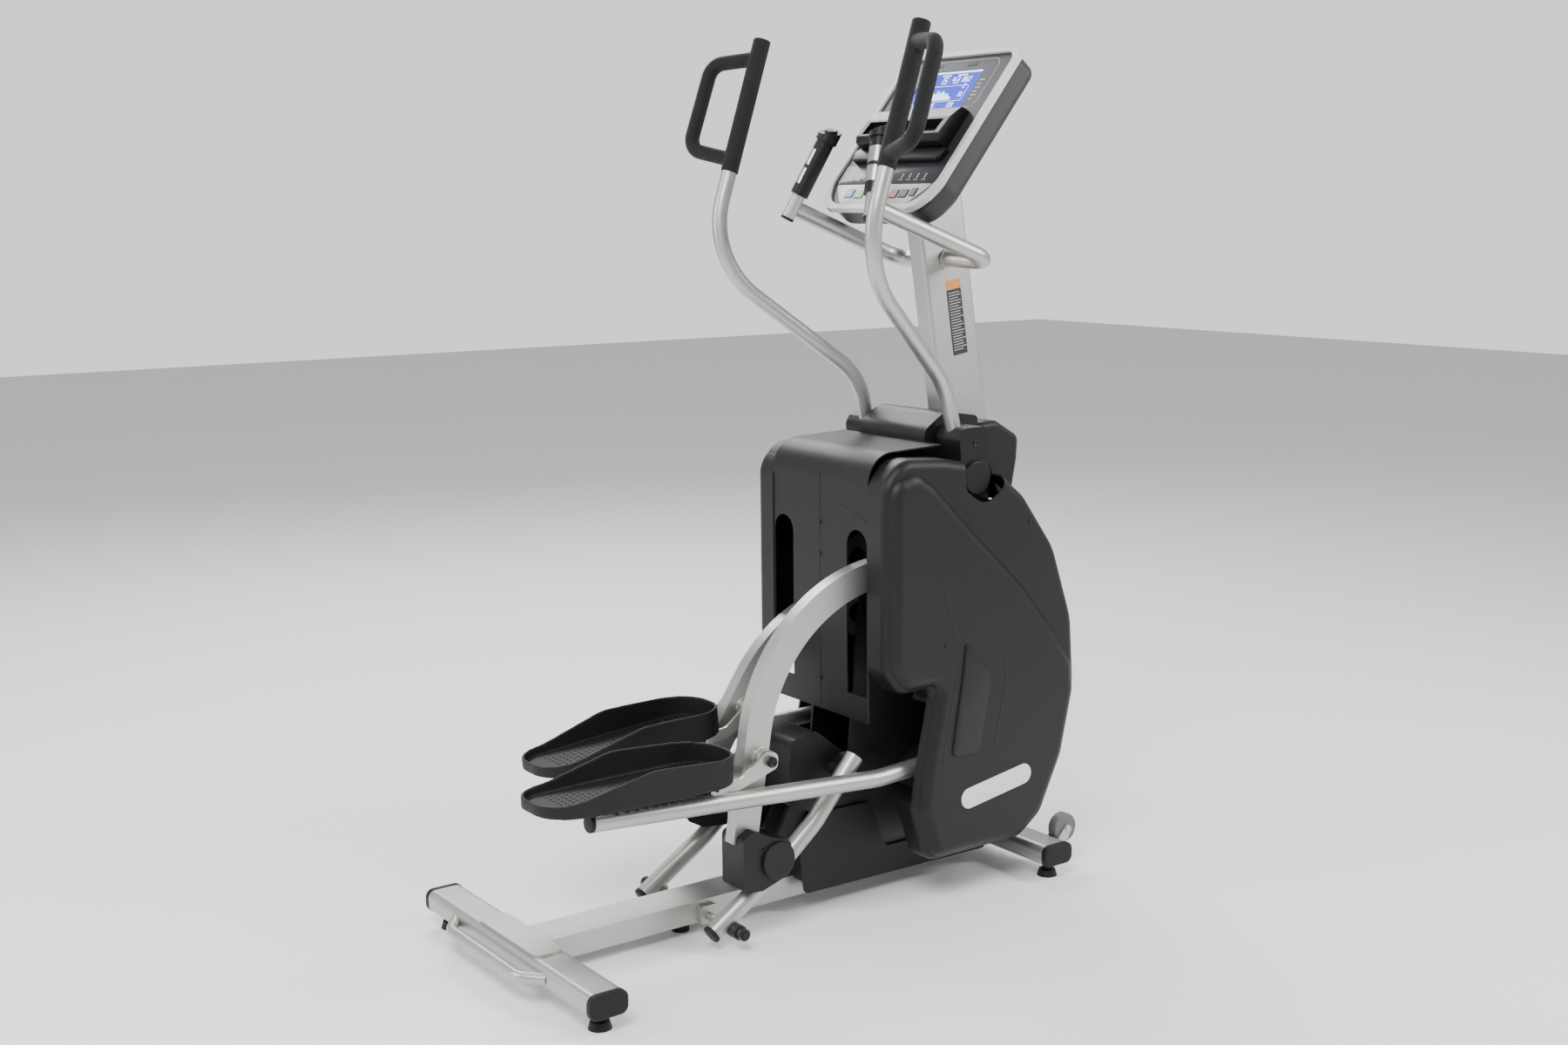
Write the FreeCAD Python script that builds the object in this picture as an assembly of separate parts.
import FreeCAD, Part
import math
import os

# Elliptical trainer. Millimetres, +X towards the console, +Y to the rider's left, +Z up.
# Layout distances along X are measured from the rear stabilizer; the last step moves the
# whole machine so that X and Y are centred on its box and the feet stand on Z = 0.

V = FreeCAD.Vector

# ---- floor frame ----
REAR_WIDTH = 670.0          # rear stabilizer, tip to tip
FRONT_WIDTH = 517.0         # front stabilizer, tip to tip
WHEELBASE = 1167.0          # rear stabilizer to front stabilizer
BAR_DEPTH = 78.0            # stabilizer tube along X
BAR_HEIGHT = 45.0
FLOOR_GAP = 32.0            # under the stabilizers
CAP_LENGTH = 14.0
RAIL_WIDTH = 90.0
RAIL_HEIGHT = 45.0
WALL = 3.0                  # steel tube and plastic shell wall
FOOT_RADIUS = 22.0
FOOT_INSET = 38.0
FOOT_PAD = 14.0
FOOT_STEM = 6.0             # threaded stem radius
SHAFT_X, SHAFT_Z = 392.0, 40.0      # cross shaft under the curved tubes
WHEEL_RADIUS = 32.0
WHEEL_WIDTH = 24.0
WHEEL_Y = 200.0
WHEEL_OUT, WHEEL_Z = 24.0, 90.0      # wheel centre from the front of its stabilizer

# ---- stride linkage, right side at its rearmost ----
STRIDE = 24.0               # turn of a rocker from rearmost to foremost, degrees
POLE_X, POLE_Z = 595.4, 76.1
ARC_X, ARC_Z = 795.0, 371.0         # centre of the crescent's bend
ARC_RADIUS = 338.0
CRESCENT_DEPTH = 58.0
CRESCENT_WIDTH = 30.0
CRESCENT_Y = 125.0
CRESCENT_TOP = 97.6                 # polar angle of the upper eye, degrees
CRESCENT_FOOT = 171.0               # polar angle where the straight foot starts
CRESCENT_LEG = 220.0                # straight foot below the bend
PIN_X, PIN_Z = 467.0, 375.0         # foot pivot
PIN_RADIUS = 8.0
ROLLER_X, ROLLER_Z = 485.0, 168.0
ROLLER_RADIUS = 18.0
TRACK_RADIUS = 19.0
TRACK_Y = 130.0
FOOT_PITCH = 4.5                    # nose-up turn of the foot over the stride, degrees
FRONT_X, FRONT_Z = 870.0, 297.0     # front roller of the foot tube
FRONT_ROLLER = 20.0
FOOT_TUBE = 18.0
FOOT_TUBE_Y = 170.0
PEDAL_LENGTH = 428.0
PEDAL_WIDTH = 165.0
PEDAL_HEEL = -38.0
PEDAL_Z = 362.0

# ---- swing arms ----
SWING_X, SWING_Z = 975.0, 890.0
SWING_Y = 147.0
ARM_TUBE = 16.0
GRIP_TUBE = 18.5
LOOP_OUT = 113.0
LEVER = 235.0

# ---- housing ----
REAR_PLANE = 716.0
HOUSE_HALF = 222.0                  # outer face of the side covers
HOUSE_IN = 162.0                    # seam between a side cover and the middle covers
SHOULDER = 14.0                     # how far the lower half of a side cover stands out
SLOT_HALF = 33.0
SLOT_LOW, SLOT_HIGH = 458.0, 800.0
PLATE_Y = 63.0                      # tower side plates
PLATE = 6.0
TOP_LINK_X, TOP_LINK_Z = 690.0, 298.0   # rod from the tower to the top of a curved tube

# ---- drive ----
PULLEY_RADIUS = 118.0
PULLEY_Y = 31.0
PULLEY_WIDTH = 18.0
FLYWHEEL_X, FLYWHEEL_Z = 1060.0, 290.0
FLYWHEEL_RADIUS = 105.0
FLYWHEEL_WIDTH = 30.0
DRIVEN_RADIUS = 22.0
AXLE_RADIUS = 12.5
BELT = 3.0

# ---- console ----
CONSOLE_X, CONSOLE_Z = 846.0, 1430.0    # lower edge of the face, on the centre plane
CONSOLE_TILT = 51.0
CONSOLE_WIDTH = 360.0
CONSOLE_LENGTH = 415.0
CONSOLE_DEPTH = 62.0
BUTTON_RADIUS = 13.0

# ---- clearances ----
RUN = 0.05                  # radial, shaft in bush
GAP = 0.4                   # between parts that pass each other closely


def box(x0, x1, y0, y1, z0, z1):
    return Part.makeBox(x1 - x0, y1 - y0, z1 - z0, V(x0, y0, z0))


def rod(start, end, radius):
    a, b = V(*start), V(*end)
    return Part.makeCylinder(radius, (b - a).Length, a, b - a)


def ring(start, end, outer, inner):
    return rod(start, end, outer).cut(rod(start, end, inner))


def disc(x, z, y0, y1, radius):
    return rod((x, y0, z), (x, y1, z), radius)


def corner(before, at, after, radius):
    """Start, middle and end of the arc that rounds the corner at a point."""
    a = (before - at).normalize()
    b = (after - at).normalize()
    half = a.getAngle(b) / 2
    back = radius / math.tan(half)
    centre_line = (a + b).normalize()
    middle = at + centre_line * (radius / math.sin(half) - radius)
    return at + a * back, middle, at + b * back


def rounded_path(points, radii):
    """Open wire of straight runs joined by tangent arcs, one radius per inner point."""
    pts = [V(*p) for p in points]
    edges = []
    here = pts[0]
    for i, radius in enumerate(radii, start=1):
        start, middle, end = corner(pts[i - 1], pts[i], pts[i + 1], radius)
        edges.append(Part.makeLine(here, start))
        edges.append(Part.Arc(start, middle, end).toShape())
        here = end
    edges.append(Part.makeLine(here, pts[-1]))
    return Part.Wire(edges)


def rounded_face(points, radii):
    """Closed face whose corners are rounded, one radius per point (0 keeps it sharp)."""
    pts = [V(*p) for p in points]
    count = len(pts)
    stops = []
    for i, radius in enumerate(radii):
        if radius:
            stops.append(corner(pts[i - 1], pts[i], pts[(i + 1) % count], radius))
        else:
            stops.append((pts[i], None, pts[i]))
    edges = []
    for i, (start, middle, end) in enumerate(stops):
        if middle:
            edges.append(Part.Arc(start, middle, end).toShape())
        after = stops[(i + 1) % count][0]
        if (after - end).Length > 1e-6:
            edges.append(Part.makeLine(end, after))
    return Part.Face(Part.Wire(edges))


def prism_y(points, radii, y0, y1):
    """Outline of (x, z) points drawn out along Y."""
    if not isinstance(radii, (list, tuple)):
        radii = [radii] * len(points)
    face = rounded_face([(x, y0, z) for x, z in points], radii)
    return face.extrude(V(0, y1 - y0, 0))


def prism_z(points, radii, z0, z1):
    """Outline of (x, y) points drawn out along Z."""
    if not isinstance(radii, (list, tuple)):
        radii = [radii] * len(points)
    face = rounded_face([(x, y, z0) for x, y in points], radii)
    return face.extrude(V(0, 0, z1 - z0))


def bent_tube(points, radii, radius):
    path = rounded_path(points, radii)
    start = path.Edges[0]
    heading = start.tangentAt(start.FirstParameter)
    ring_edge = Part.makeCircle(radius, V(*points[0]), heading)
    return path.makePipeShell([Part.Wire([ring_edge])], True, False)


def mirrored(shape):
    return shape.mirror(V(0, 0, 0), V(0, 1, 0))


def both_sides(shape):
    return Part.Compound([shape, mirrored(shape)])


def turned(shape, x, z, angle):
    copy = shape.copy()
    copy.rotate(V(x, 0, z), V(0, 1, 0), angle)
    return copy


def turned_point(x, z, centre_x, centre_z, angle):
    a = math.radians(angle)
    dx, dz = x - centre_x, z - centre_z
    return centre_x + dx * math.cos(a) + dz * math.sin(a), centre_z - dx * math.sin(a) + dz * math.cos(a)


def joined(shapes):
    result = shapes[0]
    if len(shapes) > 1:
        result = result.fuse(shapes[1:])
    return result.removeSplitter()


def on_arc(angle):
    a = math.radians(angle)
    return ARC_X + ARC_RADIUS * math.cos(a), ARC_Z + ARC_RADIUS * math.sin(a)


TOP_X, TOP_Z = on_arc(CRESCENT_TOP)
TOP2_X, TOP2_Z = turned_point(TOP_X, TOP_Z, POLE_X, POLE_Z, STRIDE)
CRANK_X, CRANK_Z = (TOP_X + TOP2_X) / 2, (TOP_Z + TOP2_Z) / 2
RAIL_TOP = FLOOR_GAP + BAR_HEIGHT - 5
RAIL_LOW = RAIL_TOP - RAIL_HEIGHT


# ---------------------------------------------------------------- floor frame

def stabilizer(x, width):
    """Flat-oval cross tube with open ends for its caps."""
    half = width / 2 - CAP_LENGTH
    z0, z1 = FLOOR_GAP, FLOOR_GAP + BAR_HEIGHT
    x0, x1 = x - BAR_DEPTH / 2, x + BAR_DEPTH / 2
    outer = prism_y([(x0, z0), (x1, z0), (x1, z1), (x0, z1)], 16, -half, half)
    inner_points = [(x0 + WALL, z0 + WALL), (x1 - WALL, z0 + WALL), (x1 - WALL, z1 - WALL), (x0 + WALL, z1 - WALL)]
    bore = prism_y(inner_points, 16 - WALL, -half, half)
    tube = outer.cut(bore)
    for side in (-1, 1):
        y = side * (width / 2 - FOOT_INSET)
        tube = tube.cut(rod((x, y, z0 - 1), (x, y, z0 + WALL + 1), FOOT_STEM + RUN))
    return tube


def rear_stabilizer():
    tube = stabilizer(0, REAR_WIDTH)
    top = FLOOR_GAP + BAR_HEIGHT
    saddle = prism_z([(-30, -120), (30, -120), (30, 120), (-30, 120)], 20, top - 0.5, top + 5)
    out = -BAR_DEPTH / 2
    handle_z = FLOOR_GAP + BAR_HEIGHT / 2
    route = [(out + 6, -165, handle_z), (out - 30, -125, handle_z), (out - 30, 155, handle_z), (out + 6, 205, handle_z)]
    handle = bent_tube(route, [45, 45], 11)
    hollow = box(out + WALL, 30, -250, 250, FLOOR_GAP + WALL, top - WALL)
    return joined([tube, saddle, handle.cut(hollow)])


def wheel_fork():
    x = WHEELBASE + BAR_DEPTH / 2
    inner, outer = WHEEL_Y - WHEEL_WIDTH / 2, WHEEL_Y + WHEEL_WIDTH / 2
    outline = [(x - 2, 50), (x + 26, 66), (x + 38, 88), (x + 26, 103), (x - 2, 74)]
    ears = [prism_y(outline, [0, 8, 8, 8, 0], y, y + 4) for y in (inner - 5, outer + 1)]
    axle = rod((x + WHEEL_OUT, inner - 7, WHEEL_Z), (x + WHEEL_OUT, outer + 7, WHEEL_Z), 5)
    return joined(ears + [axle])


def front_stabilizer():
    return joined([stabilizer(WHEELBASE, FRONT_WIDTH), wheel_fork(), mirrored(wheel_fork())])


def stabilizer_caps():
    caps = []
    for x, width in ((0, REAR_WIDTH), (WHEELBASE, FRONT_WIDTH)):
        x0, x1 = x - BAR_DEPTH / 2, x + BAR_DEPTH / 2
        z0, z1 = FLOOR_GAP, FLOOR_GAP + BAR_HEIGHT
        y0 = width / 2 - CAP_LENGTH
        cap = prism_y([(x0 - 1, z0 - 1), (x1 + 1, z0 - 1), (x1 + 1, z1 + 1), (x0 - 1, z1 + 1)], 17, y0, width / 2)
        edges = [e for e in cap.Edges if e.CenterOfMass.y > width / 2 - 0.1]
        caps.append(cap.makeFillet(5, edges))
    return Part.Compound(caps + [mirrored(c) for c in caps] + [centre_foot()])


def levelling_foot(x, y):
    pad = Part.makeCone(FOOT_RADIUS, FOOT_RADIUS - 4, FOOT_PAD, V(x, y, 0))
    stem = rod((x, y, FOOT_PAD - 1), (x, y, FLOOR_GAP + 22), FOOT_STEM)
    nut = rod((x, y, FOOT_PAD), (x, y, FOOT_PAD + 6), 11)
    return joined([pad, stem, nut])


def main_rail():
    """Rail between the stabilizers, with the cross shaft that carries the curved tubes."""
    x0, x1 = BAR_DEPTH / 2, WHEELBASE - BAR_DEPTH / 2
    half = RAIL_WIDTH / 2
    rail = box(x0, x1, -half, half, RAIL_LOW, RAIL_TOP)
    bore = box(x0, x1, -half + WALL, half - WALL, RAIL_LOW + WALL, RAIL_TOP - WALL)
    lug = prism_y([(372, 24), (418, 24), (418, 62), (372, 62)], 12, half, half + 12)
    shaft = rod((SHAFT_X, -178, SHAFT_Z), (SHAFT_X, 178, SHAFT_Z), 8)
    return joined([rail.cut(bore), lug, mirrored(lug), shaft])


def centre_foot():
    return joined([rod((360, 0, 0.5), (360, 0, 16), 18), rod((360, 0, 15), (360, 0, RAIL_LOW), 10)])


def track_route(side):
    y = side * TRACK_Y
    return [(354, y, 37), (500, y, 130), (600, y, 212), (706, y, 332)]


def track_tube(side):
    """Curved tube that a roller runs up, with the lug that hangs on the cross shaft."""
    tube = bent_tube(track_route(side), [220, 160], TRACK_RADIUS)
    lug = disc(SHAFT_X, SHAFT_Z, side * (TRACK_Y - 12), side * (TRACK_Y + 12), 15)
    shaft = disc(SHAFT_X, SHAFT_Z, side * 90, side * 185, 8)
    return joined([tube, lug]).cut(shaft)


def track_tubes():
    return Part.Compound([track_tube(-1), track_tube(1)])


def track_hardware():
    """Bushes and bolt heads at both ends of the curved tubes."""
    places = ((SHAFT_X, SHAFT_Z, TRACK_Y + 12, 170, 15), (SHAFT_X, SHAFT_Z, 178, 186, 12),
              (706, 322, 96, TRACK_Y, 14), (706, 322, 88, 96, 9))
    pieces = []
    for side in (-1, 1):
        shaft = disc(SHAFT_X, SHAFT_Z, side * 60, side * 178, 8)
        taken = track_tube(side).fuse(shaft)
        lower = joined([disc(x, z, side * y0, side * y1, r) for x, z, y0, y1, r in places[:1]])
        head = disc(SHAFT_X, SHAFT_Z, side * 178, side * 186, 12)
        upper = joined([disc(x, z, side * y0, side * y1, r) for x, z, y0, y1, r in places[2:]])
        pieces += [lower.cut(taken), head, upper.cut(taken)]
    return Part.Compound(pieces)


# ---------------------------------------------------------------- tower and drive

def tower_outline():
    return [(645, RAIL_TOP), (1112, RAIL_TOP), (1152, 240), (1152, 400), (1140, 560), (1117, 860), (1100, 912),
            (1010, 925), (930, 925), (800, 800), (762, 600), (748, 420), (738, 318), (645, 300)]


def tower_frame():
    """Two side plates with their spacers, arm cross tube, mast seat and roller ramps."""
    plates = []
    for side in (-1, 1):
        y0, y1 = sorted((side * PLATE_Y, side * (PLATE_Y + PLATE)))
        plate = prism_y(tower_outline(), [8, 8, 30, 30, 30, 30, 20, 20, 14, 40, 60, 60, 8, 8], y0, y1)
        plate = plate.cut(prism_y([(900, 700), (1080, 620), (1060, 800), (960, 830)], 25, y0, y1))
        for x, z, radius in ((CRANK_X, CRANK_Z, 22), (FLYWHEEL_X, FLYWHEEL_Z, 22), (SWING_X, SWING_Z, 18)):
            plate = plate.cut(disc(x, z, y0, y1, radius))
        seat = box(1064, 1100, *sorted((side * 24, side * PLATE_Y)), 852, 905)
        link = disc(TOP_LINK_X, TOP_LINK_Z, side * PLATE_Y, side * TRACK_Y, 13)
        plates += [plate, seat.cut(mast_solid(0)), link.cut(track_tube(side)), front_ramp(side)]
    spacers = [rod((x, -PLATE_Y, z), (x, PLATE_Y, z), 12) for x, z in ((692, 240), (1100, 130), (1115, 600))]
    arm_bar = ring((SWING_X, -124, SWING_Z), (SWING_X, 124, SWING_Z), 19, 10)
    return joined(plates + spacers + [arm_bar])


def front_ramp(side):
    """Curved steel strip that the front roller of a foot tube runs on."""
    low = FRONT_ROLLER + 0.8
    points = []
    for share in (-0.3, 0.5, 1.2):
        ax, az = turned_point(PIN_X, PIN_Z, POLE_X, POLE_Z, STRIDE * share)
        fx, fz = turned_point(FRONT_X - PIN_X, FRONT_Z - PIN_Z, 0, 0, -FOOT_PITCH * share)
        points.append((ax + fx, az + fz))
    rows = [[V(x + drop * 0.37, 0, z - drop * 0.93) for x, z in points] for drop in (low, low + 6)]
    top, under = rows
    edges = [Part.Arc(*top).toShape(), Part.makeLine(top[2], under[2])]
    edges += [Part.Arc(under[2], under[1], under[0]).toShape(), Part.makeLine(under[0], top[0])]
    face = Part.Face(Part.Wire(edges))
    outer = FOOT_TUBE_Y + 14
    face.translate(V(0, side * outer, 0))
    return face.extrude(V(0, -side * (outer - PLATE_Y - 1), 0))


def axle_bearings():
    """Flanged bearing cups for the crank axle and the flywheel axle."""
    cups = []
    for x, z, shaft in ((CRANK_X, CRANK_Z, AXLE_RADIUS), (FLYWHEEL_X, FLYWHEEL_Z, 8.5)):
        for side in (-1, 1):
            cup = disc(x, z, side * (PLATE_Y - 6), side * (PLATE_Y + PLATE + 8), 21.9)
            flange = disc(x, z, side * (PLATE_Y + PLATE), side * (PLATE_Y + PLATE + 6), 34)
            bore = disc(x, z, side * (PLATE_Y - 7), side * (PLATE_Y + PLATE + 9), shaft + RUN)
            cups.append(joined([cup, flange]).cut(bore))
    return Part.Compound(cups)


def crank_set():
    """Crank axle with its two opposed arms and stub pins."""
    parts = [rod((CRANK_X, -96, CRANK_Z), (CRANK_X, 96, CRANK_Z), AXLE_RADIUS)]
    for side, x, z in ((-1, TOP_X, TOP_Z), (1, TOP2_X, TOP2_Z)):
        hub = disc(CRANK_X, CRANK_Z, side * 80, side * 102, 26)
        end = disc(x, z, side * 94, side * 102, 16)
        stub = disc(x, z, side * 102, side * 107, 9)
        ux, uz = x - CRANK_X, z - CRANK_Z
        length = math.hypot(ux, uz)
        nx, nz = -uz / length * 15, ux / length * 15
        bar = [(CRANK_X + nx, CRANK_Z + nz), (CRANK_X - nx, CRANK_Z - nz), (x - nx, z - nz), (x + nx, z + nz)]
        parts += [hub, end, stub, prism_y(bar, 0, side * 94, side * 102)]
    return joined(parts)


def drive_pulley():
    low, high = PULLEY_Y - PULLEY_WIDTH / 2, PULLEY_Y + PULLEY_WIDTH / 2
    body = disc(CRANK_X, CRANK_Z, low, high, PULLEY_RADIUS)
    body = body.cut(disc(CRANK_X, CRANK_Z, low, low + 6, PULLEY_RADIUS - 14))
    body = body.cut(disc(CRANK_X, CRANK_Z, high - 6, high, PULLEY_RADIUS - 14))
    hub = disc(CRANK_X, CRANK_Z, low - 4, high + 4, 30)
    body = joined([body, hub]).cut(disc(CRANK_X, CRANK_Z, low - 5, high + 5, AXLE_RADIUS))
    for i in range(6):
        a = math.radians(60 * i)
        hole = disc(CRANK_X + 68 * math.cos(a), CRANK_Z + 68 * math.sin(a), low - 1, high + 1, 22)
        body = body.cut(hole)
    return body


def flywheel():
    """Flywheel with its small belt pulley, on its own axle."""
    x, z = FLYWHEEL_X, FLYWHEEL_Z
    rim = disc(x, z, -45, -45 + FLYWHEEL_WIDTH, FLYWHEEL_RADIUS)
    rim = rim.cut(disc(x, z, -45, -37, FLYWHEEL_RADIUS - 22))
    axle = rod((x, -76, z), (x, 76, z), 8.5)
    driven = disc(x, z, PULLEY_Y - PULLEY_WIDTH / 2, PULLEY_Y + PULLEY_WIDTH / 2, DRIVEN_RADIUS)
    hub = disc(x, z, -50, -8, 28)
    return joined([rim, axle, driven, hub])


def belt_loop(grow):
    """Face inside the belt line, round both pulleys."""
    dx, dz = FLYWHEEL_X - CRANK_X, FLYWHEEL_Z - CRANK_Z
    span = math.hypot(dx, dz)
    big, small = PULLEY_RADIUS + grow, DRIVEN_RADIUS + grow
    along = math.atan2(dz, dx)
    lean = math.acos((big - small) / span)
    marks = []
    for x, z, r in ((CRANK_X, CRANK_Z, big), (FLYWHEEL_X, FLYWHEEL_Z, small)):
        for turn in (along + lean, along - lean):
            marks.append(V(x + r * math.cos(turn), 0, z + r * math.sin(turn)))
    far = V(CRANK_X - big * math.cos(along), 0, CRANK_Z - big * math.sin(along))
    near = V(FLYWHEEL_X + small * math.cos(along), 0, FLYWHEEL_Z + small * math.sin(along))
    edges = [Part.Arc(marks[0], far, marks[1]).toShape(), Part.makeLine(marks[1], marks[3])]
    edges += [Part.Arc(marks[3], near, marks[2]).toShape(), Part.makeLine(marks[2], marks[0])]
    return Part.Face(Part.Wire(edges))


def drive_belt():
    low = PULLEY_Y - PULLEY_WIDTH / 2 + 2
    face = belt_loop(GAP + BELT).cut(belt_loop(GAP))
    face.translate(V(0, low, 0))
    return face.extrude(V(0, PULLEY_WIDTH - 4, 0))


def brake_magnet():
    """Horseshoe magnet that straddles the flywheel rim, on a lug of the tower."""
    x, z = FLYWHEEL_X + FLYWHEEL_RADIUS, FLYWHEEL_Z
    block = box(x - 26, x + 16, -56, -4, z - 34, z + 34)
    throat = box(x - 30, x + 4, -45 - 3, -45 + FLYWHEEL_WIDTH + 3, z - 40, z + 40)
    lug = box(x - 26, x - 14, -PLATE_Y, -55, z - 20, z + 20)
    return joined([block.cut(throat), lug])


def swing_shaft():
    return rod((SWING_X, -186, SWING_Z), (SWING_X, 186, SWING_Z), 10)


# ---------------------------------------------------------------- housing

def cover_outline():
    """Side view of a housing half, from its top front corner down and back up the rear."""
    front = [(1000, 915), (1088, 846), (1176, 728), (1232, 568), (1243, 420), (1208, 265), (1146, 140), (1088, 100)]
    rear = [(830, 100), (790, 222), (802, 300), (838, 468), (756, 468), (714, 520), (714, 900), (760, 948),
            (870, 940)]
    return front + rear


def shoulder_outline():
    """Side view of the part of a housing half that stands out, below its slanting ridge."""
    ridge = [(735, 908), (790, 925), (840, 890), (935, 795), (1080, 660), (1165, 560), (1226, 470)]
    front = [(1232, 410), (1200, 270), (1140, 148), (1084, 108)]
    rear = [(836, 108), (798, 222), (808, 296), (846, 476), (762, 476), (722, 524), (722, 880)]
    return ridge + front + rear


def dished(outline, radii, depth, rounding):
    """Solid behind an outline, from the seam out to a depth, with its outer rim rounded."""
    solid = prism_y(outline, radii, -depth, -HOUSE_IN)
    rim = [e for e in solid.Edges if e.BoundBox.YMax < -depth + 0.01]
    return solid.makeFillet(rounding, rim)


def hollow(outline, radii, depth, rounding):
    face = rounded_face([(x, -depth + WALL, z) for x, z in outline], radii).makeOffset2D(-WALL)
    solid = face.extrude(V(0, depth - WALL - HOUSE_IN + 1, 0))
    rim = [e for e in solid.Edges if e.BoundBox.YMax < -depth + WALL + 0.01]
    return solid.makeFillet(rounding - WALL, rim)


def side_cover():
    """Right housing half: a dished shell, open inwards, with room for the arm and the foot tube."""
    radii = [40, 90, 150, 150, 150, 150, 90, 40, 36, 30, 30, 16, 40, 40, 60, 60, 40]
    shell = dished(cover_outline(), radii, HOUSE_HALF, 20)
    empty = hollow(cover_outline(), radii, HOUSE_HALF, 20)
    depth = HOUSE_HALF + SHOULDER
    radii = [40, 45, 80, 90, 90, 60, 50, 50, 90, 60, 40, 36, 30, 30, 16, 40, 50, 50]
    shell = shell.fuse(dished(shoulder_outline(), radii, depth, 26))
    empty = empty.fuse(hollow(shoulder_outline(), radii, depth, 26))
    recess = prism_y([(SWING_X - 54, 1000), (SWING_X - 54, SWING_Z - 20), (SWING_X, SWING_Z - 54),
                      (SWING_X + 54, SWING_Z - 20), (SWING_X + 54, 1000)], [0, 30, 40, 30, 0], -300, -100)
    window = box(770, 870, -206, -100, 236, 440)
    return shell.cut(empty).cut(recess).cut(window).removeSplitter()


def rear_cover():
    """Back of the housing: slotted wall that rolls over into the top."""
    half = HOUSE_IN - 0.5
    path_out = [(REAR_PLANE, 405), (REAR_PLANE, 955), (905, 962), (905, 962 - WALL),
                (REAR_PLANE + WALL, 955 - WALL), (REAR_PLANE + WALL, 405)]
    shell = prism_y(path_out, [0, 60, 0, 0, 60 - WALL, 0], -half, half)
    for side in (-1, 1):
        y0, y1 = side * CRESCENT_Y - SLOT_HALF, side * CRESCENT_Y + SLOT_HALF
        slot = box(REAR_PLANE - 5, REAR_PLANE + 10, y0, y1, SLOT_LOW, SLOT_HIGH - SLOT_HALF)
        crown = rod((REAR_PLANE - 5, side * CRESCENT_Y, SLOT_HIGH - SLOT_HALF),
                    (REAR_PLANE + 10, side * CRESCENT_Y, SLOT_HIGH - SLOT_HALF), SLOT_HALF)
        shell = shell.cut(slot).cut(crown)
    return shell


def top_hump():
    """Arched cover over the arm shafts, between the two arms."""
    half = 108.0
    outside = [(905.5, 930), (905.5, 985), (960, 1020), (1052, 1006), (1052, 930)]
    inside = [(905.5 + WALL, 929), (905.5 + WALL, 983), (960, 1020 - WALL), (1052 - WALL, 1003), (1052 - WALL, 929)]
    shell = prism_y(outside, [0, 30, 40, 12, 0], -half, half)
    hollow = prism_y(inside, [0, 27, 37, 9, 0], -half + WALL, half - WALL)
    return shell.cut(hollow).cut(mast_solid(1.0))


def mast_shroud():
    """Cover round the foot of the mast, stepping down to the housing front."""
    half = 118.0
    outside = [(1052.5, 936), (1052.5, 990), (1100, 992), (1163, 955), (1160, 905), (1142, 815), (1108, 815)]
    shell = prism_y(outside, [0, 8, 20, 20, 20, 0, 0], -half, half)
    rim = [e for e in shell.Edges if abs(abs(e.CenterOfMass.y) - half) < 0.1
           and e.CenterOfMass.x > 1075 and e.CenterOfMass.z > 850]
    shell = shell.makeFillet(12, rim)
    inside = [(1052.5 + WALL, 930), (1052.5 + WALL, 986), (1098, 988), (1159, 952), (1156, 905), (1138, 812),
              (1100, 812)]
    shell = shell.cut(prism_y(inside, [0, 5, 16, 16, 16, 0, 0], -half + WALL, half - WALL))
    return shell.cut(mast_solid(1.0))


def front_cover():
    """Band that closes the housing between its halves along the front edge."""
    half = HOUSE_IN - 0.5
    line = [(1128, 814), (1176, 728), (1232, 568), (1243, 420), (1208, 265), (1146, 140), (1128, 112)]
    radii = [0, 150, 150, 150, 150, 30, 0]
    back = [(x - 4, z) for x, z in reversed(line)]
    band = prism_y(line + back, radii + radii[::-1], -half, half)
    return band.cut(box(1100, 1160, -18, 18, 122, 148))


def lower_skirt():
    """Black cover along the rail, under the drive."""
    outside = [(615, 40), (1112, 34), (1112, 98), (828, 98), (788, 205), (640, 208), (600, 150)]
    shell = prism_y(outside, [12, 8, 8, 20, 20, 20, 20], -78, 78)
    inside = [(615, 30), (1109, 30), (1109, 95), (826, 95), (785, 202), (642, 205), (603, 150)]
    shell = shell.cut(prism_y(inside, [0, 0, 5, 23, 17, 17, 17], -75, 75))
    shell = shell.cut(box(590, 1130, -RAIL_WIDTH / 2, RAIL_WIDTH / 2, 20, RAIL_TOP))
    tower = box(645, 1131, PLATE_Y, PLATE_Y + PLATE, 60, 215)
    return shell.cut(both_sides(tower)).cut(both_sides(tower_strut()))


def tower_strut():
    return prism_y([(505, RAIL_TOP), (545, RAIL_TOP), (640, 222), (598, 240)], 0, -60, -50)


def tower_cover():
    """Moulded cover over the lower tower, with its two short struts to the rail."""
    outer = prism_y([(578, 236), (640, 211), (728, 232), (728, 318), (650, 382), (585, 372)], 18, -74, 74)
    outer = outer.cut(prism_y([(582, 240), (640, 215), (731, 237), (731, 314), (649, 378), (589, 368)], 15, -71, 71))
    strut = tower_strut()
    tower = box(645, 740, PLATE_Y, PLATE_Y + PLATE, 200, 400)
    link = disc(TOP_LINK_X, TOP_LINK_Z, -100, 100, 13)
    return Part.Compound([outer.cut(both_sides(strut)).cut(both_sides(tower)).cut(link), strut, mirrored(strut)])


def power_inlet():
    """Mains inlet low on the front of the housing."""
    body = box(1118, 1148, -18, 18, 122, 148)
    socket = box(1136, 1149, -12, 12, 127, 143)
    return body.cut(socket)


# ---------------------------------------------------------------- mast, bars, console

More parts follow.
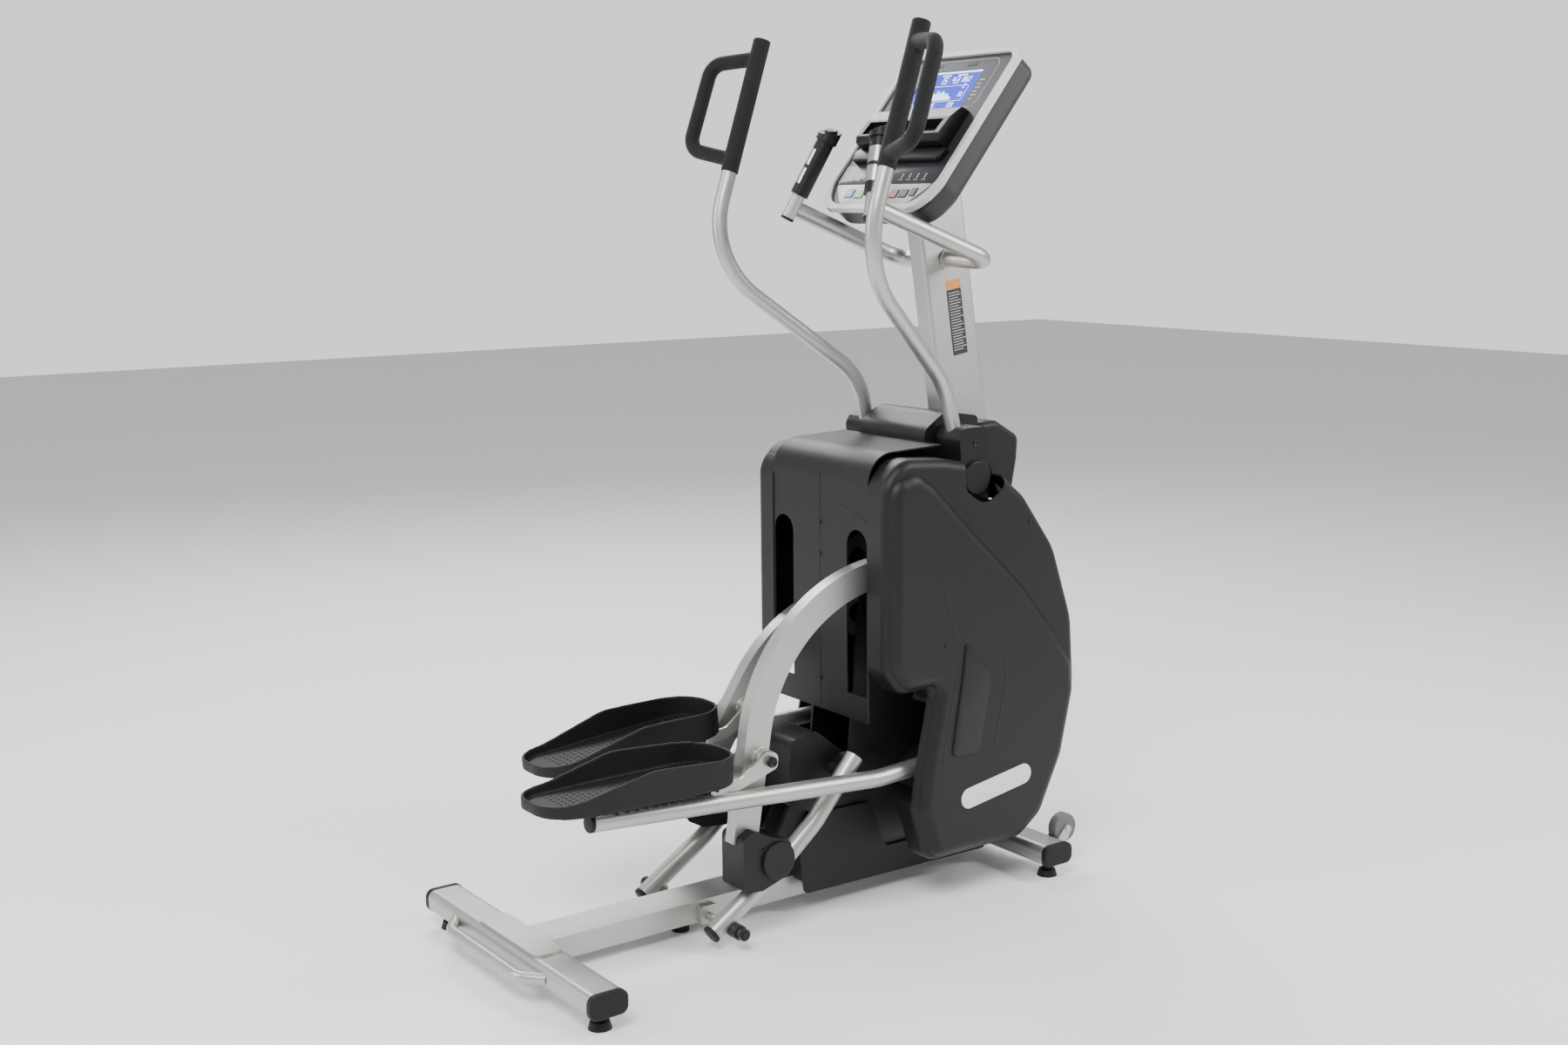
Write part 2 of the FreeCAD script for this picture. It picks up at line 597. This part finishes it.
def mast_solid(grow):
    """Straight flat-oval post that leans back towards the rider."""
    low_x, low_z, high_x, high_z = 1112.0, 850.0, 1003.0, 1536.0
    half = 62.0 + grow
    angle = math.atan2(high_x - low_x, high_z - low_z)
    nx, nz = half * math.cos(angle), -half * math.sin(angle)
    outline = [(low_x - nx, low_z - nz), (low_x + nx, low_z + nz), (high_x + nx, high_z + nz), (high_x - nx, high_z - nz)]
    return prism_y(outline, 0, -24 - grow, 24 + grow)


def mast():
    post = mast_solid(0)
    long_edges = [e for e in post.Edges if e.Length > 600]
    bore = mast_solid(-WALL)
    return post.makeFillet(7, long_edges).cut(bore)


def bar_half():
    """Right half of the fixed bar, from its grip post round to the side of the mast."""
    route = [(757, -136, 1436), (1055, -150, 1324), (1030, 0, 1332)]
    tube = bent_tube(route, [42], 17)
    return joined([tube, grip_place(rod((0, 0, 0), (0, 0, 170), 14))])


def handlebar():
    half = bar_half()
    return Part.Compound([half.cut(mast_solid(0)), mirrored(half).cut(mast_solid(0))])


def grip_place(shape):
    """Stands a piece built along +Z onto the right grip post."""
    low, high = V(741, -137, 1418), V(815, -80, 1598)
    copy = shape.copy()
    copy.Placement = FreeCAD.Placement(low, FreeCAD.Rotation(V(0, 0, 1), high - low))
    return copy


def slanted_cap(radius, z0, z1, lift):
    """Round cap cut off by a plane that leans towards the rider."""
    cap = rod((0, 0, z0), (0, 0, z1), radius)
    above = Part.makeBox(120, 120, 80, V(-60, -60, 0))
    above.rotate(V(0, 0, 0), V(0, 1, 0), -24)
    above.translate(V(0, 0, z0 + 22 + lift))
    return cap.cut(above)


def pulse_grips():
    """Moulded sleeves on the fixed bar, each with a slanted cap."""
    sleeve = ring((0, 0, 50), (0, 0, 170), 19, 14)
    cap = slanted_cap(23, 170, 215, 0).cut(rod((0, 0, 180), (0, 0, 240), BUTTON_RADIUS + GAP))
    grip = grip_place(joined([sleeve, cap]))
    return Part.Compound([grip, mirrored(grip)])


def remote_button():
    """Round rocker pad in the slanted cap of a grip."""
    return grip_place(slanted_cap(BUTTON_RADIUS, 183, 220, -10 + 2.5 / math.cos(math.radians(24))))


def console_place(shape):
    """Moves a piece from the flat layout (x along the face, z out of it) to the mast."""
    copy = shape.copy()
    copy.rotate(V(0, 0, 0), V(0, 1, 0), -CONSOLE_TILT)
    copy.translate(V(CONSOLE_X, 0, CONSOLE_Z))
    return copy


def console_plate(inset, z0, z1):
    """Console outline with its wide lower radius, drawn out along the face normal."""
    half = CONSOLE_WIDTH / 2 - inset
    points = [(inset, -half + 28), (inset + 60, -half), (CONSOLE_LENGTH - inset, -half),
              (CONSOLE_LENGTH - inset, half), (inset + 60, half), (inset, half - 28)]
    return prism_z(points, [60, 60, 28, 28, 60, 60], z0, z1)


def console_tub(inset, floor, top, rounding):
    """Solid with the console's outline and a rounded lower rim."""
    body = console_plate(inset, floor, top)
    return body.makeFillet(rounding, [e for e in body.Edges if e.BoundBox.ZMax < floor + 0.01])


def console_shell():
    """Deep back shell with the neck that takes the mast."""
    neck = prism_y([(50, -50), (78, -92), (150, -92), (260, -58), (260, -50)], [0, 14, 30, 0, 0], -62, 62)
    shell = console_tub(6, -CONSOLE_DEPTH, -6, 18).fuse(neck)
    shell = shell.cut(console_tub(6 + WALL, -CONSOLE_DEPTH + WALL, 0, 15))
    return console_place(shell).cut(mast_solid(0))


def console_bezel():
    return console_place(console_plate(0, -6, 8).cut(console_plate(12, -7, 9)))


def console_face():
    plate = console_plate(12, -4, 3).cut(box(262, 366, -92, 92, -5, 10))
    for key in key_places():
        plate = plate.cut(key_block(key, GAP, -5, 10))
    return console_place(plate)


def lcd_screen():
    return console_place(box(262, 366, -92, 92, -4, 1))


def key_places():
    """Keypad centres and half sizes along the face: x, y, half x, half y."""
    return [(42, 94, 9, 12), (40, 59, 9, 12), (40, -52, 9, 12), (41, -83, 9, 12), (44, -112, 9, 8)]


def key_block(place, grow, z0, z1):
    x, y, half_x, half_y = place
    return box(x - half_x - grow, x + half_x + grow, y - half_y - grow, y + half_y + grow, z0, z1)


def console_key(place):
    return console_place(key_block(place, 0, -2, 6))


def reading_shelf():
    """Angular ledge under the screen with a lip to hold a book."""
    points = [(152, 3), (250, 3), (244, 26), (210, 38), (164, 42), (152, 34)]
    ledge = prism_y(points, [0, 0, 8, 10, 6, 6], -132, 132)
    pocket = prism_y([(174, 14), (198, 14), (206, 48), (168, 48)], 3, -118, 118)
    return console_place(ledge.cut(pocket))


# ---------------------------------------------------------------- moving linkage

def crescent_solid(drop, half_depth, half_width):
    """Bent rectangular bar from its upper eye round to its straight foot."""
    a0, a1 = math.radians(CRESCENT_TOP), math.radians(CRESCENT_FOOT)
    mid = (a0 + a1) / 2
    rows = []
    for r in (ARC_RADIUS - half_depth, ARC_RADIUS + half_depth):
        rows.append([V(ARC_X + r * math.cos(a), 0, ARC_Z + r * math.sin(a)) for a in (a0, mid, a1)])
    inner, outer = rows
    down = V(-math.sin(a1), 0, math.cos(a1)) * drop
    edges = [Part.Arc(*inner).toShape(), Part.makeLine(inner[2], inner[2] + down)]
    edges += [Part.makeLine(inner[2] + down, outer[2] + down), Part.makeLine(outer[2] + down, outer[2])]
    edges += [Part.Arc(outer[2], outer[1], outer[0]).toShape(), Part.makeLine(outer[0], inner[0])]
    face = Part.Face(Part.Wire(edges))
    face.translate(V(0, -CRESCENT_Y - half_width, 0))
    return face.extrude(V(0, 2 * half_width, 0))


def crescent():
    bar = crescent_solid(CRESCENT_LEG, CRESCENT_DEPTH / 2, CRESCENT_WIDTH / 2)
    y0, y1 = -CRESCENT_Y - CRESCENT_WIDTH / 2, -CRESCENT_Y + CRESCENT_WIDTH / 2
    eye = disc(TOP_X, TOP_Z, y0, y1, 29)
    sleeve = disc(PIN_X, PIN_Z, y0 - 19, y1 + 19, 20)
    return joined([bar, eye, sleeve, crescent_foot()]).cut(disc(PIN_X, PIN_Z, y0 - 25, y1 + 25, PIN_RADIUS + RUN))


def crescent_foot():
    """Plate welded inside the lower end of a crescent, bored for the roller pin."""
    inner = -CRESCENT_Y + CRESCENT_WIDTH / 2
    outline = [(412, 270), (450, 270), (452, 210), (505, 180), (500, 150), (470, 150), (414, 196)]
    return prism_y(outline, 8, inner, inner + 10).cut(disc(ROLLER_X, ROLLER_Z, inner, inner + 10, 8))


def roller_cover():
    """Black cover over the roller: two walls that straddle the curved tube, cap and pin."""
    outline = [(404, 116), (404, 226), (432, 238), (470, 218), (515, 205), (526, 168), (512, 132), (450, 112)]
    outer = prism_y(outline, [12, 14, 8, 20, 20, 30, 20, 8], -166, -90)
    room = [(407, 100), (407, 223), (432, 234), (469, 214), (560, 190), (560, 100)]
    outer = outer.cut(prism_y(room, 0, -163, -93))
    outer = outer.cut(crescent_solid(CRESCENT_LEG, CRESCENT_DEPTH / 2, CRESCENT_WIDTH / 2)).cut(crescent_foot())
    cap = disc(ROLLER_X, ROLLER_Z, -174, -165, 38)
    cap = cap.makeFillet(3, [e for e in cap.Edges if e.BoundBox.YMax < -173.9])
    pin = disc(ROLLER_X, ROLLER_Z, -165, -92, 8)
    return joined([outer, cap, pin])


def roller():
    body = disc(ROLLER_X, ROLLER_Z, -TRACK_Y - 18, -TRACK_Y + 18, ROLLER_RADIUS)
    return body.cut(disc(ROLLER_X, ROLLER_Z, -170, -90, 8 + RUN))


def foot_frame():
    """Long tube, pedal flange and the two ears that hang on the foot pin."""
    y = -FOOT_TUBE_Y
    parts = [bent_tube([(66, y, 333), (735, y, 289), (FRONT_X, y, FRONT_Z)], [250], FOOT_TUBE)]
    parts.append(disc(FRONT_X, FRONT_Z, y - 17, y + 17, FRONT_ROLLER))
    parts.append(disc(PIN_X, PIN_Z, -CRESCENT_Y - 48, -CRESCENT_Y + 46, PIN_RADIUS))
    parts.append(box(70, 368, -CRESCENT_Y - 60, -CRESCENT_Y + 42, 348, PEDAL_Z - 8))
    parts.append(box(352, 365, -CRESCENT_Y - 44, -CRESCENT_Y + 42, 330, 350))
    parts += [ear_plate(y0) for y0 in (-CRESCENT_Y - 44, -CRESCENT_Y + 36)]
    parts += [box(x, x + 26, y - 3, y + 3, 330, 350) for x in (110, 330)]
    return joined(parts)


def ear_plate(y0):
    points = [(PIN_X - 6, PIN_Z + 20), (PIN_X + 20, PIN_Z + 14), (PIN_X + 18, PIN_Z - 16), (400, 332), (352, 332),
              (352, 353), (400, 353)]
    return prism_y(points, [12, 14, 12, 10, 0, 0, 20], y0, y0 + 6)


def pedal_face(grow, z):
    """Footprint of a pedal: rounded heel and toe, slightly waisted."""
    half = PEDAL_WIDTH / 2 + grow
    heel, toe = PEDAL_HEEL - grow, PEDAL_HEEL + PEDAL_LENGTH + grow
    points = [(heel, -half * 0.86), (heel + 200, -half), (toe, -half), (toe, half), (heel + 200, half),
              (heel, half * 0.86)]
    face = rounded_face([(x, y - CRESCENT_Y, z) for x, y in points], [60 + grow, 300, 76 + grow, 76 + grow, 300, 60 + grow])
    return face


def pedal():
    """Moulded foot plate whose rim rises from the heel to the toe."""
    block = pedal_face(0, PEDAL_Z - 8).extrude(V(0, 0, 68))
    shell = block.cut(pedal_face(-6, PEDAL_Z + 4).extrude(V(0, 0, 90)))
    toe = PEDAL_HEEL + PEDAL_LENGTH + 20
    line = [(PEDAL_HEEL - 20, PEDAL_Z + 20), (PEDAL_HEEL + 70, PEDAL_Z + 24), (PEDAL_HEEL + 220, PEDAL_Z + 58),
            (toe, PEDAL_Z + 44), (toe, PEDAL_Z + 120), (PEDAL_HEEL - 20, PEDAL_Z + 120)]
    shell = shell.cut(prism_y(line, [0, 200, 150, 0, 0, 0], -320, 50))
    heel = [(PEDAL_HEEL - 20, PEDAL_Z - 20), (PEDAL_HEEL + 90, PEDAL_Z - 8), (PEDAL_HEEL - 20, PEDAL_Z + 1)]
    return shell.cut(prism_y(heel, 0, -320, 50))


def arm_route():
    x, z, y = SWING_X, SWING_Z, -SWING_Y
    return [(x - 6, y, z + 30), (x - 44, y + 5, z + 189), (x - 352, -262, z + 442), (x - 210, -260, z + 885)]


def swing_arm():
    """Bent arm tube, hub and the short drive lever inside the housing."""
    tube = bent_tube(arm_route(), [150, 185], ARM_TUBE)
    hub = disc(SWING_X, SWING_Z, -184, -128, 17)
    boss = disc(SWING_X, SWING_Z, -168, -128, 24)
    neck = rod((SWING_X, -SWING_Y, SWING_Z), arm_route()[0], ARM_TUBE)
    lever = prism_y([(SWING_X - 18, SWING_Z), (SWING_X + 18, SWING_Z), (SWING_X + 12, SWING_Z - LEVER),
                     (SWING_X - 12, SWING_Z - LEVER)], [0, 0, 11, 11], -160, -150)
    arm = joined([tube, hub, boss, neck, lever])
    arm = arm.cut(disc(SWING_X, SWING_Z, -190, -120, 10 + RUN))
    return arm.cut(disc(SWING_X, SWING_Z - LEVER + 14, -162, -148, 6))


def arm_cover():
    """Black cover over the arm's hub, with its round cap."""
    tilt = [(SWING_X - 36, SWING_Z - 8), (SWING_X - 44, SWING_Z + 84), (SWING_X - 30, SWING_Z + 104),
            (SWING_X + 26, SWING_Z + 104), (SWING_X + 38, SWING_Z + 88), (SWING_X + 36, SWING_Z - 8)]
    body = prism_y(tilt, [10, 20, 14, 14, 18, 10], -190, -112)
    room = [(SWING_X - 33, SWING_Z - 12), (SWING_X - 41, SWING_Z + 84), (SWING_X - 28, SWING_Z + 101),
            (SWING_X + 23, SWING_Z + 101), (SWING_X + 35, SWING_Z + 86), (SWING_X + 33, SWING_Z - 12)]
    body = body.cut(prism_y(room, [10, 17, 11, 11, 15, 10], -187, -109))
    cap = disc(SWING_X, SWING_Z, -198, -189, 35)
    cap = cap.makeFillet(3, [e for e in cap.Edges if e.BoundBox.YMax < -197.9])
    route = arm_route()
    opening = rod(route[0], route[1], ARM_TUBE)
    return joined([body.cut(opening), cap])


def foam_grip():
    """Foam over the top of the arm and round its outer loop."""
    route = arm_route()
    a, b = V(*route[2]), V(*route[3])
    start = a + (b - a) * 0.40
    end = b + (b - a).normalize() * 8
    core_end = b + (b - a).normalize() * 0.2
    bar = rod(tuple(start), tuple(end), GRIP_TUBE)
    top = a + (b - a) * 0.93
    low = a + (b - a) * 0.46
    out_top = top + V(-42, -LOOP_OUT + 4, -8)
    out_low = low + V(-34, -LOOP_OUT, 24)
    loop = bent_tube([tuple(top), tuple(out_top), tuple(out_low), tuple(low)], [34, 34], 15.5)
    grip = joined([bar, loop])
    return grip.cut(rod(tuple(a), tuple(core_end), ARM_TUBE))


def transport_wheel():
    x, z = WHEELBASE + BAR_DEPTH / 2 + WHEEL_OUT, WHEEL_Z
    half = WHEEL_WIDTH / 2
    wheel = disc(x, z, -WHEEL_Y - half, -WHEEL_Y + half, WHEEL_RADIUS)
    wheel = wheel.makeFillet(4, [e for e in wheel.Edges if e.Length > 150])
    return wheel.cut(disc(x, z, -WHEEL_Y - half, -WHEEL_Y + half, 5 + RUN))


def in_left_stride(shape):
    return mirrored(turned(shape, POLE_X, POLE_Z, STRIDE))


def left_foot(shape):
    pitched = turned(shape, PIN_X, PIN_Z, -FOOT_PITCH - STRIDE)
    return in_left_stride(pitched)


def make_all():
    rear_y = REAR_WIDTH / 2 - FOOT_INSET
    front_y = FRONT_WIDTH / 2 - FOOT_INSET
    parts = {
        "rear_stabilizer": rear_stabilizer(),
        "front_stabilizer": front_stabilizer(),
        "stabilizer_caps": stabilizer_caps(),
        "main_rail": main_rail(),
        "track_tubes": track_tubes(),
        "track_hardware": track_hardware(),
        "tower_frame": tower_frame(),
        "axle_bearings": axle_bearings(),
        "crank_set": crank_set(),
        "drive_pulley": drive_pulley(),
        "drive_belt": drive_belt(),
        "flywheel": flywheel(),
        "brake_magnet": brake_magnet(),
        "swing_shaft": swing_shaft(),
        "right_side_cover": side_cover(),
        "left_side_cover": mirrored(side_cover()),
        "rear_cover": rear_cover(),
        "top_hump": top_hump(),
        "mast_shroud": mast_shroud(),
        "front_cover": front_cover(),
        "lower_skirt": lower_skirt(),
        "tower_cover": tower_cover(),
        "power_inlet": power_inlet(),
        "mast": mast(),
        "handlebar": handlebar(),
        "pulse_grips": pulse_grips(),
        "console_shell": console_shell(),
        "console_bezel": console_bezel(),
        "console_face": console_face(),
        "lcd_screen": lcd_screen(),
        "reading_shelf": reading_shelf(),
        "right_transport_wheel": transport_wheel(),
        "left_transport_wheel": mirrored(transport_wheel()),
    }
    for name, x, y in (("rear_right_foot", 0, -rear_y), ("rear_left_foot", 0, rear_y),
                       ("front_right_foot", WHEELBASE, -front_y), ("front_left_foot", WHEELBASE, front_y)):
        parts[name] = levelling_foot(x, y)
    parts["right_remote_button"] = remote_button()
    parts["left_remote_button"] = mirrored(remote_button())
    for number, place in enumerate(key_places(), start=1):
        parts["console_key_%d" % number] = console_key(place)
    for name, make in (("crescent", crescent), ("roller_cover", roller_cover), ("roller", roller)):
        parts["right_" + name] = make()
        parts["left_" + name] = in_left_stride(make())
    for name, make in (("foot_frame", foot_frame), ("pedal", pedal)):
        parts["right_" + name] = make()
        parts["left_" + name] = left_foot(make())
    for name, make in (("swing_arm", swing_arm), ("arm_cover", arm_cover), ("foam_grip", foam_grip)):
        parts["right_" + name] = make()
        parts["left_" + name] = mirrored(make())
    return parts


def save(parts):
    """Centres the machine on its box, stands it on Z = 0 and writes one file per part."""
    boxes = [shape.optimalBoundingBox(False) for shape in parts.values()]
    low, high = min(b.XMin for b in boxes), max(b.XMax for b in boxes)
    shift = round(-(low + high) / 2, 3)
    os.makedirs("parts", exist_ok=True)
    for name, shape in parts.items():
        shape.translate(V(shift, 0, 0))
        shape.exportStep("parts/%s.step" % name)
    print("parts", len(parts), "shift along X", shift)


save(make_all())
